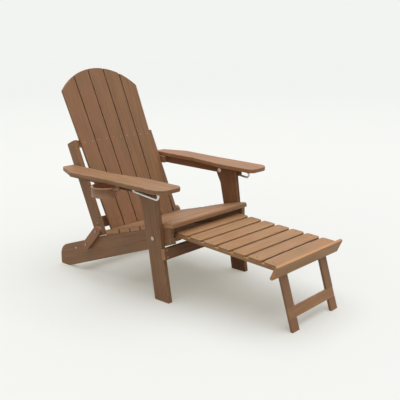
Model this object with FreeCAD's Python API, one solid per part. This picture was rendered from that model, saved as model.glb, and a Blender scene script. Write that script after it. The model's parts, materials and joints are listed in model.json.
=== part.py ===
import FreeCAD, Part
import math
import os
from FreeCAD import Vector

os.makedirs("parts", exist_ok=True)

# Folding slatted lounge chair with a pull-out footrest.
# The chair faces -Y, +Z is up, y = 0 at the front edge of the front legs' feet.
# All lengths are in millimetres.

# Lumber and layers, counted outwards from the middle
board_thickness = 22.0
running_gap = 0.3
stringer_inner_x = 238.0
bolt_radius = 4.0
bore_clearance = 0.05
layer1_in = stringer_inner_x
layer1_out = layer1_in + board_thickness
layer2_in = layer1_out + running_gap
layer2_out = layer2_in + board_thickness
layer3_in = layer2_out + running_gap
layer3_out = layer3_in + board_thickness

# Pivots of the folding frame, as y and z; the arm pivots lie on the arm rails' middle line
leg_pivot_y = 93.0
leg_pivot_z = 285.0
arm_front_pivot_y = 172.0
arm_rear_pivot_setback = 29.0
link_upper_y = 496.0
link_upper_z = 239.0
link_lower_y = 577.0
link_lower_z = 156.0

# Seat contour, from the nose to the rear edge of the last slat
seat_front_y = -9.0
seat_front_z = 365.0
seat_depth = 456.0
seat_drop = 116.0
seat_slat_gap = 6.0
seat_slat_edge_radius = 3.0
seat_nose_radius = 9.0
seat_overhang = 2.0
seat_half_width = layer1_out - seat_overhang
seat_station_depth_shares = (0.0, 0.1404, 0.3004, 0.4605, 0.6140, 0.7807, 1.0)
seat_station_drop_shares = (0.0, 0.0862, 0.246, 0.413, 0.597, 0.767, 1.0)

# Stringers
stringer_front_y = 6.0
stringer_front_bottom_z = 267.0
stringer_foot_front_y = 756.0
stringer_foot_rear_y = 824.0
stringer_rear_height = 119.0
stringer_heel_height = 41.0
stringer_waist_y = 599.0
stringer_waist_z = 171.0
stringer_heel_radius = 45.0
stringer_rear_top_radius = 74.0
stringer_corner_radius = 8.0
rear_bar_y = 692.0
rear_bar_z = 108.0
rear_bar_width = 64.0

# Front legs
foot_depth = 90.0
leg_front_knee_y = 40.0
leg_front_knee_z = 257.0
leg_rear_knee_y = 124.0
leg_rear_knee_z = 230.0
leg_front_top_y = 72.0
leg_rear_flare_y = 166.0
leg_rear_flare_drop = 61.0
leg_top_clearance = 1.0
leg_foot_radius = 5.0
leg_corner_radius = 10.0
leg_flare_radius = 40.0
stretcher_bottom_z = 199.0
stretcher_height = 51.0
stretcher_overhang = 5.5

# Arms, drawn level and then raised towards the rear about their front pivots
arm_height = 539.0
arm_rise_degrees = 1.2
arm_thickness = 20.0
rail_height = 35.5
rail_front_y = 62.0
rail_rear_margin = 43.0
rail_corner_radius = 6.0
spacer_length = 84.0
arm_front_y = -54.0
arm_rear_margin = 46.0
arm_outer_front_x = 375.0
arm_waist_x = 378.0
arm_waist_y = 290.0
arm_shoulder_x = 394.0
arm_shoulder_setback = 82.0
arm_tail_x = 340.0
arm_inner_front_x = 237.0
arm_inner_rear_x = 272.0
arm_inner_notch_y = 165.0
arm_inner_rear_y = 365.0
arm_front_outer_radius = 55.0
arm_front_inner_radius = 30.0
arm_tail_radius = 18.0
arm_rear_radius = 8.0
arm_shoulder_radius = 50.0
arm_waist_radius = 500.0
arm_inner_radius = 200.0

# Steel bails outside the rails
bail_rod_radius = 5.0
bail_sides = 6
bail_front_reach = 160.0
bail_front_rise = 2.0
bail_nose_reach = 142.0
bail_nose_drop = 24.0
bail_nose_radius = 12.0
bail_bolt_gap = 0.8
bail_bend_share = 0.98

# Links behind the seat
link_width = 44.0
link_upper_reach = 26.0
link_end_radius = 20.0

# Back: t runs up the recline, n runs rearwards from the front face
recline_degrees = 24.2
back_foot_y = 458.0
back_foot_z = 249.5
back_corner_height = 716.0
back_arch_rise = 107.0
back_half_width_bottom = 211.0
back_half_width_top = 241.0
back_slat_thickness = 16.0
back_slat_gap = 5.5
back_slat_count = 5
back_slat_tail = 8.0
post_width = 58.0
post_top_height = 463.0
post_corner_radius = 6.0
post_seat_clearance = 1.5
upper_brace_drop = 17.0
upper_brace_width = 28.0
upper_brace_depth = 48.0
lower_brace_height = 44.0
lower_brace_width = 51.0
lower_brace_depth = 44.0
brace_corner_radius = 4.0

# Footrest, drawn pulled out; s runs forward along its top from its rear end
footrest_rear_y = 45.0
footrest_rear_z = 317.7
footrest_fall_degrees = 3.37
footrest_half_width = 217.0
footrest_slat_count = 7
footrest_slat_width = 67.0
footrest_slat_thickness = 10.0
footrest_slat_end_radius = 12.0
footrest_first_slat = 31.0
rail_flat_width = 41.0
rail_flat_thickness = 14.0
apron_bottom_y = -527.5
apron_bottom_z = 228.0
apron_lean_degrees = 24.9
apron_height = 63.0
apron_thickness = 14.0
apron_half_width = 242.0
apron_edge_radius = 3.0
apron_seat_gap = 0.3

# Rod that the footrest hangs on, its blocks and its guides
rod_radius = 5.0
rod_setback = 15.0
rod_depth = 33.0
rod_end_gap = 3.0
block_length = 30.0
block_height = 24.0
block_corner_radius = 5.0
slide_travel_y = 489.0
slide_travel_z = -127.0
guide_width = 16.0
guide_depth = 20.0
guide_lip = 9.0
guide_lip_length = 14.0

# Footrest legs, drawn down
footleg_inner_x = 121.0
footleg_width = 48.0
footleg_thickness = 12.0
footleg_pin_y = -495.8
footleg_pin_z = 269.0
footleg_splay_degrees = 16.8
footleg_pin_radius = 3.0
footleg_head_reach = 6.0
crossbar_bottom_z = 50.0
crossbar_width = 44.0

# Cup holder under one arm
cup_x = -372.0
cup_y = 304.0
cup_outer_radius = 60.0
cup_wall = 3.5
cup_height = 46.0
cup_top_gap = 13.0
cup_rim_width = 3.0
cup_rim_height = 5.0
cup_handle_slot = 26.0
cup_slot_floor = 14.0
cup_lug_x = -352.0
cup_lug_y = 236.0
cup_lug_radius = 12.0
cup_lug_height = 13.0
cup_lug_width = 20.0
cup_slot_degrees = 130.0

# Bolts and pins
bolt_head_radius = 9.5
link_bolt_head_radius = 7.0
bolt_head_height = 4.0
collar_foot_radius = 9.0
pin_head_height = 2.0
pin_head_radius = 5.0
cut_overrun = 4.0

# Useful directions
axis_x = Vector(1, 0, 0)
axis_z = Vector(0, 0, 1)
sides = (("right", -1), ("left", 1))
nodes = {}


def unit(vector):
    length = vector.Length
    return Vector(vector.x / length, vector.y / length, vector.z / length)


def rounded_wire(points, radii):
    # closed outline through the corner points, each corner rounded by its radius
    edges = []
    count = len(points)
    entries = []
    exits = []
    mids = []
    for index in range(count):
        corner = points[index]
        before = points[index - 1]
        after = points[(index + 1) % count]
        radius = radii[index]
        if radius == 0:
            entries.append(corner)
            exits.append(corner)
            mids.append(None)
            continue
        to_before = unit(before - corner)
        to_after = unit(after - corner)
        angle = to_before.getAngle(to_after)
        reach = radius / math.tan(angle / 2)
        bisector = unit(to_before + to_after)
        centre = corner + bisector * (radius / math.sin(angle / 2))
        entries.append(corner + to_before * reach)
        exits.append(corner + to_after * reach)
        mids.append(centre - bisector * radius)
    for index in range(count):
        if mids[index] is not None:
            edges.append(Part.Arc(entries[index], mids[index], exits[index]).toShape())
        start = exits[index]
        end = entries[(index + 1) % count]
        if start.distanceToPoint(end) > bore_clearance / 10:
            edges.append(Part.LineSegment(start, end).toShape())
    return Part.Wire(edges)


def side_plate(points, radii, x_from, x_to):
    # outline given as (y, z) pairs, made solid between two x values
    corners = [Vector(x_from, y, z) for y, z in points]
    face = Part.Face(rounded_wire(corners, radii))
    return face.extrude(Vector(x_to - x_from, 0, 0))


def top_plate(points, radii, z_from, z_to):
    # outline given as (x, y) pairs, made solid between two heights
    corners = [Vector(x, y, z_from) for x, y in points]
    face = Part.Face(rounded_wire(corners, radii))
    return face.extrude(Vector(0, 0, z_to - z_from))


def span(side, x_in, x_out):
    # an inner and an outer distance from the middle, as x values on one side
    return side * x_in, side * x_out


def rod_along_x(x_from, x_to, y, z, radius):
    length = abs(x_to - x_from)
    low = min(x_from, x_to)
    return Part.makeCylinder(radius, length, Vector(low, y, z), axis_x)


def save(node, shapes):
    # kept until the end, when the whole chair's own box gives the origin
    if len(shapes) == 1:
        nodes[node] = shapes[0]
    else:
        nodes[node] = Part.makeCompound(shapes)


def bolt(side, x_in, x_out, y, z, head_radius):
    # shank from x_in out to x_out, then a flat round head
    shank = rod_along_x(side * x_in, side * x_out, y, z, bolt_radius)
    head = rod_along_x(side * x_out, side * (x_out + bolt_head_height), y, z, head_radius)
    return head.fuse(shank)


def bore(shape, y, z, radius):
    hole = rod_along_x(-arm_shoulder_x, arm_shoulder_x, y, z, radius)
    return shape.cut(hole)


running_bore = bolt_radius + bore_clearance

# Arm pivots: the front one at the rail's mid height, the rear one where the rail's
# middle line meets a line set back behind the reclined back's front face
recline = math.radians(recline_degrees)
back_up = Vector(0, math.sin(recline), math.cos(recline))
back_rear = Vector(0, math.cos(recline), -math.sin(recline))
back_foot = Vector(0, back_foot_y, back_foot_z)
arm_rise = math.radians(arm_rise_degrees)
rail_top_z = arm_height - arm_thickness
rail_bottom_z = rail_top_z - rail_height
arm_front_pivot_z = (rail_top_z + rail_bottom_z) / 2
arm_front_pivot = Vector(0, arm_front_pivot_y, arm_front_pivot_z)
arm_along = Vector(0, math.cos(arm_rise), math.sin(arm_rise))
arm_up = Vector(0, -math.sin(arm_rise), math.cos(arm_rise))
setback_line = back_foot + back_rear * arm_rear_pivot_setback
climb = (arm_front_pivot - setback_line).dot(arm_up) / back_up.dot(arm_up)
arm_rear_pivot = setback_line + back_up * climb
arm_pivot_spacing = (arm_rear_pivot - arm_front_pivot).Length

# Seat stations: the corners of the seat's broken top line
stations = []
for depth_share, drop_share in zip(seat_station_depth_shares, seat_station_drop_shares):
    station_y = seat_front_y + seat_depth * depth_share
    station_z = seat_front_z - seat_drop * drop_share
    stations.append((station_y, station_z - board_thickness))

# Stringers, from the seat's nose down to the rear feet
for name, side in sides:
    outline = []
    corner_radii = []
    outline.append((stringer_front_y, stringer_front_bottom_z))
    corner_radii.append(stringer_corner_radius)
    outline.append((stringer_foot_front_y, 0))
    corner_radii.append(stringer_heel_radius)
    outline.append((stringer_foot_rear_y, 0))
    corner_radii.append(stringer_corner_radius)
    outline.append((stringer_foot_rear_y, stringer_heel_height))
    corner_radii.append(0)
    rear_top_y = stringer_foot_rear_y
    rear_top_z = stringer_rear_height - (stringer_waist_z - stringer_rear_height) * (
        stringer_foot_rear_y - stringer_foot_front_y) / (stringer_foot_front_y - stringer_waist_y)
    outline.append((rear_top_y, rear_top_z))
    corner_radii.append(stringer_rear_top_radius)
    outline.append((stringer_foot_front_y, stringer_rear_height))
    corner_radii.append(0)
    outline.append((stringer_waist_y, stringer_waist_z))
    corner_radii.append(0)
    for station in reversed(stations[1:]):
        outline.append(station)
        corner_radii.append(0)
    first_slope = (stations[1][1] - stations[0][1]) / (stations[1][0] - stations[0][0])
    front_top_z = stations[1][1] - first_slope * (stations[1][0] - stringer_front_y)
    outline.append((stringer_front_y, front_top_z))
    corner_radii.append(0)
    x_from, x_to = span(side, layer1_in, layer1_out)
    stringer = side_plate(outline, corner_radii, x_from, x_to)
    stringer = bore(stringer, leg_pivot_y, leg_pivot_z, bolt_radius)
    stringer = bore(stringer, link_lower_y, link_lower_z, bolt_radius)
    save("stringer_" + name, [stringer])

# Seat slats, one between each pair of stations
for index in range(len(stations) - 1):
    start = Vector(0, stations[index][0], stations[index][1])
    end = Vector(0, stations[index + 1][0], stations[index + 1][1])
    along = unit(end - start)
    up = Vector(0, -along.z, along.y)
    front = start + along * (seat_slat_gap / 2)
    rear = end - along * (seat_slat_gap / 2)
    if index == 0:
        front = start
    front_radius = seat_slat_edge_radius
    if index == 0:
        front_radius = seat_nose_radius
    outline = []
    outline.append((front.y, front.z))
    outline.append((rear.y, rear.z))
    outline.append((rear.y + up.y * board_thickness, rear.z + up.z * board_thickness))
    outline.append((front.y + up.y * board_thickness, front.z + up.z * board_thickness))
    corner_radii = [0, 0, seat_slat_edge_radius, front_radius]
    slat = side_plate(outline, corner_radii, -seat_half_width, seat_half_width)
    save("seat_slat_%d" % (index + 1), [slat])

# Bar across the rear feet, lying along the stringers' lower edge
lower_run_y = stringer_foot_front_y - stringer_front_y
lower_run_z = -stringer_front_bottom_z
bar_along = unit(Vector(0, lower_run_y, lower_run_z))
bar_up = Vector(0, -bar_along.z, bar_along.y)
bar_centre = Vector(0, rear_bar_y, rear_bar_z)
bar_corners = []
for along_sign, up_sign in ((-1, -1), (1, -1), (1, 1), (-1, 1)):
    reach = bar_along * (along_sign * rear_bar_width / 2)
    rise = bar_up * (up_sign * board_thickness / 2)
    corner = bar_centre + reach + rise
    bar_corners.append((corner.y, corner.z))
bar_radii = [seat_slat_edge_radius] * 4
rear_bar = side_plate(bar_corners, bar_radii, -layer1_in, layer1_in)
save("rear_foot_bar", [rear_bar])

# Line of the footrest's top, pulled out
fall = math.radians(footrest_fall_degrees)
rest_along = Vector(0, -math.cos(fall), -math.sin(fall))
rest_down = Vector(0, math.sin(fall), -math.cos(fall))
rest_rear = Vector(0, footrest_rear_y, footrest_rear_z)


def rest_point(forward, down):
    point = rest_rear + rest_along * forward + rest_down * down
    return (point.y, point.z)


rod_out = rest_point(rod_setback, rod_depth)

# Guides that carry the rod, with a raised lip at each end of the travel
slide_dir = unit(Vector(0, slide_travel_y, slide_travel_z))
slide_up = Vector(0, -slide_dir.z, slide_dir.y)
rod_out_point = Vector(0, rod_out[0], rod_out[1])
slide_length = math.hypot(slide_travel_y, slide_travel_z)
deck = rod_radius + running_gap
lip_reach = rod_radius + running_gap


def guide_point(forward, rise):
    point = rod_out_point + slide_dir * forward + slide_up * rise
    return (point.y, point.z)


guide_outline = [
    guide_point(-lip_reach - guide_lip_length, -deck - guide_depth),
    guide_point(slide_length + lip_reach + guide_lip_length, -deck - guide_depth),
    guide_point(slide_length + lip_reach + guide_lip_length, guide_lip - deck),
    guide_point(slide_length + lip_reach, guide_lip - deck),
    guide_point(slide_length + lip_reach, -deck),
    guide_point(-lip_reach, -deck),
    guide_point(-lip_reach, guide_lip - deck),
    guide_point(-lip_reach - guide_lip_length, guide_lip - deck),
]
guide_radii = [0] * len(guide_outline)
for name, side in sides:
    x_from, x_to = span(side, layer1_in - guide_width, layer1_in)
    guide = side_plate(guide_outline, guide_radii, x_from, x_to)
    save("footrest_guide_" + name, [guide])

# Bolts that the legs and the links turn on, threaded flush into the stringers
pivot_bolts = []
for name, side in sides:
    head_x = layer2_out + running_gap
    pivot_bolts.append(bolt(side, layer1_in, head_x, leg_pivot_y, leg_pivot_z, bolt_head_radius))
    pivot_bolts.append(bolt(side, layer1_in, head_x, link_lower_y, link_lower_z, link_bolt_head_radius))
save("stringer_pivot_bolts", pivot_bolts)

# Front legs
leg_head_radius = rail_height / 2 - leg_top_clearance
front_slope = leg_front_knee_y / leg_front_knee_z
leg_head_high = arm_front_pivot + (arm_along + arm_up) * leg_head_radius
leg_head_low = arm_front_pivot + (arm_along - arm_up) * leg_head_radius
leg_top_reach = arm_front_pivot_y - leg_front_top_y
leg_front_top = arm_front_pivot + arm_up * leg_head_radius - arm_along * leg_top_reach
leg_outline = [
    (0, 0),
    (foot_depth, 0),
    (leg_rear_knee_y, leg_rear_knee_z),
    (leg_rear_flare_y, arm_front_pivot_z - leg_rear_flare_drop),
    (leg_head_low.y, leg_head_low.z),
    (leg_head_high.y, leg_head_high.z),
    (leg_front_top.y, leg_front_top.z),
    (leg_front_knee_y, leg_front_knee_z),
]
leg_radii = [
    leg_foot_radius,
    leg_foot_radius,
    0,
    leg_flare_radius,
    leg_corner_radius,
    leg_head_radius,
    leg_corner_radius,
    0,
]
for name, side in sides:
    x_from, x_to = span(side, layer2_in, layer2_out)
    leg = side_plate(leg_outline, leg_radii, x_from, x_to)
    leg = bore(leg, leg_pivot_y, leg_pivot_z, running_bore)
    leg = bore(leg, arm_front_pivot_y, arm_front_pivot_z, running_bore)
    save("front_leg_" + name, [leg])

# Stretcher on the legs' front edges
leg_up = unit(Vector(0, leg_front_knee_y, leg_front_knee_z))
leg_out = Vector(0, -leg_up.z, leg_up.y)
stretcher_foot = Vector(0, stretcher_bottom_z * front_slope, stretcher_bottom_z)
stretcher_head = stretcher_foot + leg_up * stretcher_height
stretcher_corners = []
for point in (stretcher_foot, stretcher_head):
    stretcher_corners.append((point.y, point.z))
for point in (stretcher_head, stretcher_foot):
    front_point = point + leg_out * board_thickness
    stretcher_corners.append((front_point.y, front_point.z))
stretcher_radii = [0, 0, seat_slat_edge_radius, seat_slat_edge_radius]
stretcher_half = layer2_out + stretcher_overhang
stretcher = side_plate(stretcher_corners, stretcher_radii, -stretcher_half, stretcher_half)
save("leg_stretcher", [stretcher])


def raised(shape):
    # an arm's piece, drawn level, turned about its front pivot to the arm's rise
    turned = shape.copy()
    turned.rotate(arm_front_pivot, axis_x, arm_rise_degrees)
    return turned


# Arms: a shaped board on a rail, with a spacer that reaches in to the post
rear_bolt_y = arm_front_pivot_y + arm_pivot_spacing
rail_rear_y = rear_bolt_y + rail_rear_margin
arm_rear_y = rear_bolt_y + arm_rear_margin
arm_shoulder_y = rear_bolt_y - arm_shoulder_setback
for name, side in sides:
    arm_points = [
        (side * arm_inner_front_x, arm_front_y),
        (side * arm_inner_front_x, arm_inner_notch_y),
        (side * arm_inner_rear_x, arm_inner_rear_y),
        (side * arm_inner_rear_x, arm_rear_y),
        (side * arm_tail_x, arm_rear_y),
        (side * arm_shoulder_x, arm_shoulder_y),
        (side * arm_waist_x, arm_waist_y),
        (side * arm_outer_front_x, arm_front_y),
    ]
    arm_radii = [
        arm_front_inner_radius,
        arm_inner_radius,
        arm_inner_radius,
        arm_rear_radius,
        arm_tail_radius,
        arm_shoulder_radius,
        arm_waist_radius,
        arm_front_outer_radius,
    ]
    arm = top_plate(arm_points, arm_radii, rail_top_z, arm_height)
    save("armrest_" + name, [raised(arm)])
    rail_points = [
        (rail_front_y, rail_bottom_z),
        (rail_rear_y, rail_bottom_z),
        (rail_rear_y, rail_top_z),
        (rail_front_y, rail_top_z),
    ]
    rail_radii = [rail_corner_radius, rail_corner_radius, 0, 0]
    x_from, x_to = span(side, layer3_in, layer3_out)
    rail = side_plate(rail_points, rail_radii, x_from, x_to)
    rail = bore(rail, arm_front_pivot_y, arm_front_pivot_z, bolt_radius)
    rail = bore(rail, rear_bolt_y, arm_front_pivot_z, bolt_radius)
    save("arm_rail_" + name, [raised(rail)])
    spacer_points = [
        (rail_rear_y - spacer_length, rail_bottom_z),
        (rail_rear_y, rail_bottom_z),
        (rail_rear_y, rail_top_z),
        (rail_rear_y - spacer_length, rail_top_z),
    ]
    x_from, x_to = span(side, layer2_in, layer3_in)
    spacer = side_plate(spacer_points, rail_radii, x_from, x_to)
    spacer = bore(spacer, rear_bolt_y, arm_front_pivot_z, bolt_radius)
    save("arm_spacer_" + name, [raised(spacer)])
    bail_centre_x = layer3_out + running_gap + bail_rod_radius
    front_head_x = bail_centre_x + bail_rod_radius + running_gap
    front_bolt = bolt(side, layer2_in, front_head_x, arm_front_pivot_y, arm_front_pivot_z, bolt_head_radius)
    rear_bolt = bolt(side, layer2_in, layer3_out, rear_bolt_y, arm_front_pivot_z, bolt_head_radius)
    save("arm_bolts_" + name, [raised(front_bolt), raised(rear_bolt)])

# Steel bails hung on the front arm bolts
bail_bend = bolt_radius + bail_bolt_gap + bail_rod_radius
bail_x = layer3_out + running_gap + bail_rod_radius
for name, side in sides:
    hook = Vector(side * bail_x, arm_front_pivot_y, arm_front_pivot_z)
    bail_points = [
        hook + Vector(0, bail_bend, bail_bend),
        hook + Vector(0, -bail_front_reach, bail_front_rise),
        hook + Vector(0, -bail_nose_reach, -bail_nose_drop),
        hook + Vector(0, bail_bend, -bail_bend),
    ]
    hook_radius = bail_bend * bail_bend_share
    bail_radii = [hook_radius, bail_nose_radius, bail_nose_radius, hook_radius]
    bail_wire = rounded_wire(bail_points, bail_radii)
    first_edge = bail_wire.Edges[0]
    start_point = first_edge.valueAt(first_edge.FirstParameter)
    start_dir = first_edge.tangentAt(first_edge.FirstParameter)
    across = start_dir.cross(axis_x)
    corners = []
    for index in range(bail_sides):
        angle = 2 * math.pi * (index + 0.5) / bail_sides
        offset = axis_x * math.cos(angle) + across * math.sin(angle)
        corners.append(start_point + offset * bail_rod_radius)
    section = Part.makePolygon(corners + [corners[0]])
    bail = bail_wire.makePipeShell([section], True, False)
    save("bail_" + name, [raised(bail)])

# Links between the stringers and the posts
link_dir = unit(Vector(0, link_upper_y - link_lower_y, link_upper_z - link_lower_z))
link_side = Vector(0, -link_dir.z, link_dir.y)
link_low = Vector(0, link_lower_y, link_lower_z) - link_dir * (link_width / 2)
link_high = Vector(0, link_upper_y, link_upper_z) + link_dir * link_upper_reach
link_corners = []
for point, sign in ((link_low, -1), (link_high, -1), (link_high, 1), (link_low, 1)):
    corner = point + link_side * (sign * link_width / 2)
    link_corners.append((corner.y, corner.z))
link_radii = [link_end_radius] * 4
for name, side in sides:
    x_from, x_to = span(side, layer2_in, layer2_out)
    link = side_plate(link_corners, link_radii, x_from, x_to)
    link = bore(link, link_lower_y, link_lower_z, running_bore)
    link = bore(link, link_upper_y, link_upper_z, running_bore)
    save("back_link_" + name, [link])


# The back, worked out in t up the recline and n rearwards
def back_point(x, t, n):
    return back_foot + axis_x * x + back_up * t + back_rear * n


def back_side_plate(points, radii, x_from, x_to):
    # outline given as (t, n) pairs, made solid between two x values
    corners = [back_point(x_from, t, n) for t, n in points]
    face = Part.Face(rounded_wire(corners, radii))
    return face.extrude(axis_x * (x_to - x_from))


# Five tapering slats under one arched top
arch_radius = (back_half_width_top ** 2 + back_arch_rise ** 2) / (2 * back_arch_rise)
arch_centre_t = back_corner_height + back_arch_rise - arch_radius


def arch_height(x):
    return arch_centre_t + math.sqrt(arch_radius ** 2 - x ** 2)


gap_total = back_slat_gap * (back_slat_count - 1)
width_bottom = (2 * back_half_width_bottom - gap_total) / back_slat_count
width_top = (2 * back_half_width_top - gap_total) / back_slat_count


def slat_edge_x(bottom_x, top_x, t):
    return bottom_x + (top_x - bottom_x) * t / back_corner_height


def slat_corner(bottom_x, top_x):
    # where a slat's straight edge meets the arch
    t = back_corner_height
    for step in range(6):
        t = arch_height(slat_edge_x(bottom_x, top_x, t))
    return slat_edge_x(bottom_x, top_x, t), t


for index in range(back_slat_count):
    left_bottom = -back_half_width_bottom + index * (width_bottom + back_slat_gap)
    left_top = -back_half_width_top + index * (width_top + back_slat_gap)
    right_bottom = left_bottom + width_bottom
    right_top = left_top + width_top
    low_left = back_point(slat_edge_x(left_bottom, left_top, -back_slat_tail), -back_slat_tail, 0)
    low_right = back_point(slat_edge_x(right_bottom, right_top, -back_slat_tail), -back_slat_tail, 0)
    x_left, t_left = slat_corner(left_bottom, left_top)
    x_right, t_right = slat_corner(right_bottom, right_top)
    x_mid = (x_left + x_right) / 2
    top_left = back_point(x_left, t_left, 0)
    top_right = back_point(x_right, t_right, 0)
    top_mid = back_point(x_mid, arch_height(x_mid), 0)
    edges = [
        Part.LineSegment(low_left, low_right).toShape(),
        Part.LineSegment(low_right, top_right).toShape(),
        Part.Arc(top_right, top_mid, top_left).toShape(),
        Part.LineSegment(top_left, low_left).toShape(),
    ]
    slat = Part.Face(Part.Wire(edges)).extrude(back_rear * back_slat_thickness)
    save("back_slat_%d" % (index + 1), [slat])

# Posts behind the slats; their feet are cut to stand on the stringers
post_front_n = back_slat_thickness
post_rear_n = post_front_n + post_width
seat_end = Vector(0, stations[-1][0], stations[-1][1])
waist = Vector(0, stringer_waist_y, stringer_waist_z)
top_edge_dir = unit(waist - seat_end)
top_edge_up = Vector(0, -top_edge_dir.z, top_edge_dir.y)


def foot_height(n):
    # t at which the line n meets the stringer's top edge, lifted by the clearance
    target = seat_end + top_edge_up * post_seat_clearance
    origin = back_foot + back_rear * n
    return (target - origin).dot(top_edge_up) / back_up.dot(top_edge_up)


post_outline = [
    (foot_height(post_front_n), post_front_n),
    (foot_height(post_rear_n), post_rear_n),
    (post_top_height, post_rear_n),
    (post_top_height, post_front_n),
]
post_radii = [0, 0, post_corner_radius, 0]
for name, side in sides:
    x_from, x_to = span(side, layer1_in, layer1_out)
    post = back_side_plate(post_outline, post_radii, x_from, x_to)
    post = bore(post, link_upper_y, link_upper_z, bolt_radius)
    save("back_post_" + name, [post])

# Braces between the posts
brace_radii = [0, 0, brace_corner_radius, brace_corner_radius]
upper_brace_height = post_top_height - upper_brace_drop
upper_outline = [
    (upper_brace_height + upper_brace_width / 2, post_front_n),
    (upper_brace_height - upper_brace_width / 2, post_front_n),
    (upper_brace_height - upper_brace_width / 2, post_front_n + upper_brace_depth),
    (upper_brace_height + upper_brace_width / 2, post_front_n + upper_brace_depth),
]
save("back_upper_brace", [back_side_plate(upper_outline, brace_radii, -layer1_in, layer1_in)])
lower_outline = [
    (lower_brace_height + lower_brace_width / 2, post_front_n),
    (lower_brace_height - lower_brace_width / 2, post_front_n),
    (lower_brace_height - lower_brace_width / 2, post_front_n + lower_brace_depth),
    (lower_brace_height + lower_brace_width / 2, post_front_n + lower_brace_depth),
]
save("back_lower_brace", [back_side_plate(lower_outline, brace_radii, -layer1_in, layer1_in)])

# Bolts through the links' upper ends into the posts
link_bolts = []
for name, side in sides:
    head_x = layer2_out + running_gap
    link_bolts.append(bolt(side, layer1_in, head_x, link_upper_y, link_upper_z, link_bolt_head_radius))
save("link_bolts", link_bolts)

# Footrest apron, leaning forward at its top
lean = math.radians(apron_lean_degrees)
apron_up = Vector(0, -math.sin(lean), math.cos(lean))
apron_in = Vector(0, math.cos(lean), math.sin(lean))
apron_low = Vector(0, apron_bottom_y, apron_bottom_z)
apron_corners = []
for rise, inset in ((0, 0), (0, apron_thickness), (apron_height, apron_thickness), (apron_height, 0)):
    corner = apron_low + apron_up * rise + apron_in * inset
    apron_corners.append((corner.y, corner.z))
apron_radii = [apron_edge_radius, 0, apron_edge_radius, apron_edge_radius]
apron = side_plate(apron_corners, apron_radii, -apron_half_width, apron_half_width)
save("footrest_apron", [apron])


def apron_forward(down):
    # how far forward the top line reaches the apron's rear face at this depth
    rear_face = apron_low + apron_in * apron_thickness
    start = rest_rear + rest_down * down
    return (rear_face - start).dot(apron_in) / rest_along.dot(apron_in)


# Footrest slats and the flat rails under them
rail_top_down = footrest_slat_thickness
rail_bottom_down = footrest_slat_thickness + rail_flat_thickness
last_front = apron_forward(rail_top_down) - apron_seat_gap
first_to_last = last_front - footrest_slat_width - footrest_first_slat
footrest_slat_pitch = first_to_last / (footrest_slat_count - 1)
for index in range(footrest_slat_count):
    start = footrest_first_slat + index * footrest_slat_pitch
    end = start + footrest_slat_width
    corners = []
    for x, forward in ((-1, start), (1, start), (1, end), (-1, end)):
        point = rest_rear + rest_along * forward + axis_x * (x * footrest_half_width)
        corners.append(point)
    face = Part.Face(rounded_wire(corners, [footrest_slat_end_radius] * 4))
    slat = face.extrude(rest_down * footrest_slat_thickness)
    save("footrest_slat_%d" % (index + 1), [slat])
for name, side in sides:
    outline = [
        rest_point(0, rail_top_down),
        rest_point(apron_forward(rail_top_down), rail_top_down),
        rest_point(apron_forward(rail_bottom_down), rail_bottom_down),
        rest_point(0, rail_bottom_down),
    ]
    x_from, x_to = span(side, footrest_half_width - rail_flat_width, footrest_half_width)
    rail = side_plate(outline, [0, 0, 0, 0], x_from, x_to)
    pin_bore = rod_along_x(x_from, x_to, footleg_pin_y, footleg_pin_z, footleg_pin_radius)
    save("footrest_rail_" + name, [rail.cut(pin_bore)])

# Blocks under the rails that the rod runs through
for name, side in sides:
    half = block_length / 2
    outline = [
        rest_point(rod_setback - half, rail_bottom_down),
        rest_point(rod_setback + half, rail_bottom_down),
        rest_point(rod_setback + half, rail_bottom_down + block_height),
        rest_point(rod_setback - half, rail_bottom_down + block_height),
    ]
    x_from, x_to = span(side, footrest_half_width - rail_flat_width, footrest_half_width)
    block = side_plate(outline, [0, 0, block_corner_radius, block_corner_radius], x_from, x_to)
    block = bore(block, rod_out[0], rod_out[1], rod_radius + bore_clearance)
    save("footrest_block_" + name, [block])

# The rod itself
rod_half = layer1_in - rod_end_gap
rod = rod_along_x(-rod_half, rod_half, rod_out[0], rod_out[1], rod_radius)
save("footrest_rod", [rod])

# Footrest legs with a crossbar half-lapped into their front faces
splay = math.radians(footleg_splay_degrees)
footleg_down = Vector(0, -math.sin(splay), -math.cos(splay))
footleg_front = Vector(0, -math.cos(splay), math.sin(splay))
pin_point = Vector(0, footleg_pin_y, footleg_pin_z)


def footleg_point(down, front):
    point = pin_point + footleg_down * down + footleg_front * front
    return (point.y, point.z)


def footleg_reach(front, height):
    # distance down the leg at which the line front reaches this height
    start = pin_point + footleg_front * front
    return (start.z - height) / math.cos(splay)


half_thick = footleg_thickness / 2
bar_low = footleg_reach(0, crossbar_bottom_z)
bar_high = bar_low - crossbar_width
footleg_outer_x = footleg_inner_x + footleg_width
leg_shape_points = [
    footleg_point(-footleg_head_reach, -half_thick),
    footleg_point(footleg_reach(-half_thick, 0), -half_thick),
    footleg_point(footleg_reach(half_thick, 0), half_thick),
    footleg_point(-footleg_head_reach, half_thick),
]
head_round = half_thick * 0.96
for name, side in sides:
    x_from, x_to = span(side, footleg_inner_x, footleg_outer_x)
    leg = side_plate(leg_shape_points, [head_round, 0, 0, head_round], x_from, x_to)
    notch_points = [
        footleg_point(bar_high, 0),
        footleg_point(bar_low, 0),
        footleg_point(bar_low, half_thick + cut_overrun),
        footleg_point(bar_high, half_thick + cut_overrun),
    ]
    notch = side_plate(notch_points, [0, 0, 0, 0], x_from, x_to)
    leg = leg.cut(notch)
    leg = bore(leg, footleg_pin_y, footleg_pin_z, footleg_pin_radius + bore_clearance)
    save("footrest_leg_" + name, [leg])
bar_points = [
    footleg_point(bar_high, -half_thick),
    footleg_point(bar_low, -half_thick),
    footleg_point(bar_low, half_thick),
    footleg_point(bar_high, half_thick),
]
crossbar = side_plate(bar_points, [0, 0, 0, 0], -footleg_outer_x, footleg_outer_x)
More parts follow.
